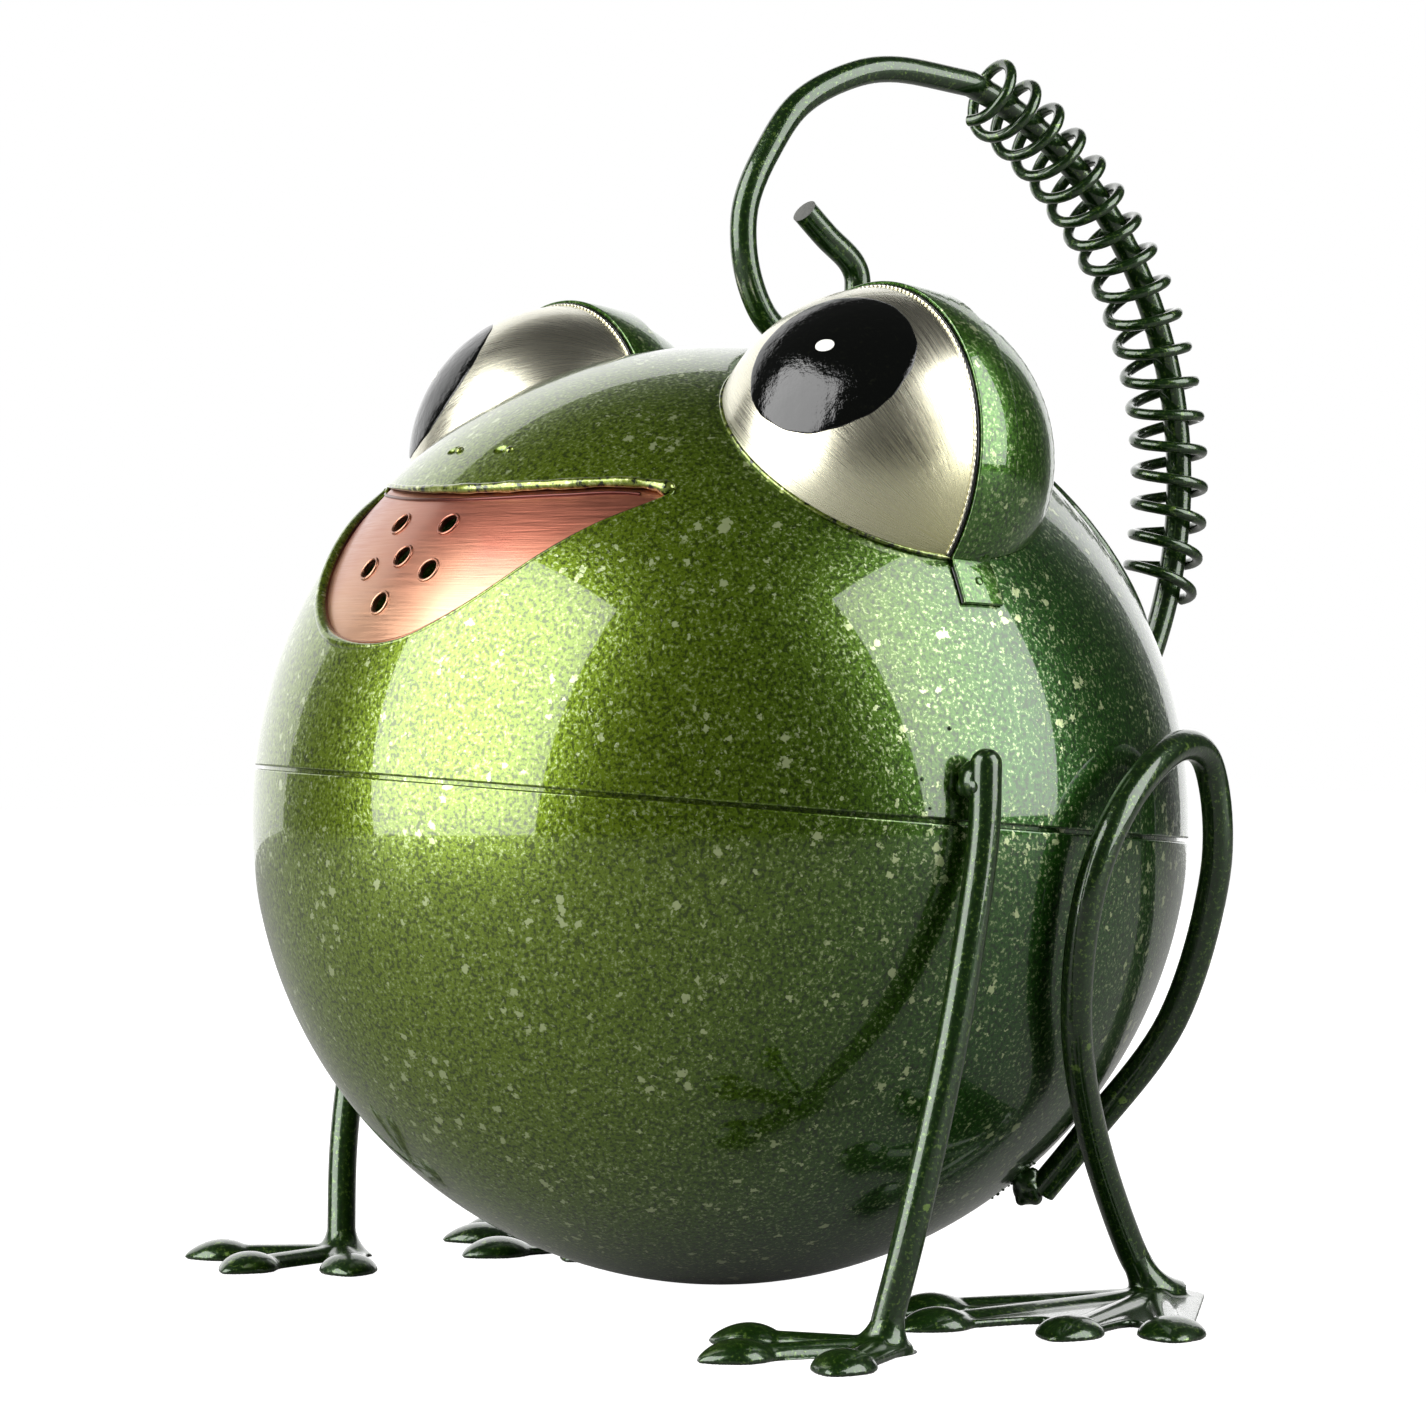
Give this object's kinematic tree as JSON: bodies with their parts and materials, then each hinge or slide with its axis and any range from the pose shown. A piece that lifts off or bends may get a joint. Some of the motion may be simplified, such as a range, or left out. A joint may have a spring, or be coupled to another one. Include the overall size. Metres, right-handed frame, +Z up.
{
  "type": "watering can",
  "caption": "Frog-shaped sheet-metal watering can: a round body with a punched pouring mouth, bulging eyes, bent-rod legs and a wire handle with a loose coil grip.",
  "frame": {"origin": "on the floor, under the middle of the bounding box", "axes": "+Z up, -Y the way the frog faces, +X to the frog's left"},
  "size_m": [0.209, 0.2026, 0.2285],
  "materials": {
    "green_enamel": "glossy green enamel with pale splatter",
    "dark_green_enamel": "glossy dark green enamel",
    "copper_lacquer": "satin brushed metal under rose copper lacquer",
    "brushed_silver": "brushed sheet under clear lacquer, with black enamel pupils"
  },
  "bodies": {
    "can": {"upper_shell": "green_enamel", "lower_shell": "green_enamel", "mouth_rose": "copper_lacquer", "filler_rim": "dark_green_enamel", "handle_rod": "dark_green_enamel", "eye_front_left": "brushed_silver", "eye_back_left": "green_enamel", "eye_strap_left": "green_enamel", "front_leg_left": "dark_green_enamel", "hind_leg_left": "dark_green_enamel", "front_foot_left": "dark_green_enamel", "hind_foot_left": "dark_green_enamel", "eye_front_right": "brushed_silver", "eye_back_right": "green_enamel", "eye_strap_right": "green_enamel", "front_leg_right": "dark_green_enamel", "hind_leg_right": "dark_green_enamel", "front_foot_right": "dark_green_enamel", "hind_foot_right": "dark_green_enamel"},
    "grip": {"grip_coil": "dark_green_enamel"}
  },
  "joints": [
    {"name": "grip_slide", "type": "hinge", "parent": "can", "child": "grip", "pos_m": [0.0019, 0.01763, 0.14794], "axis": [0.9996, -0.0023, -0.0296], "range_deg": [-24, 12]}
  ]
}
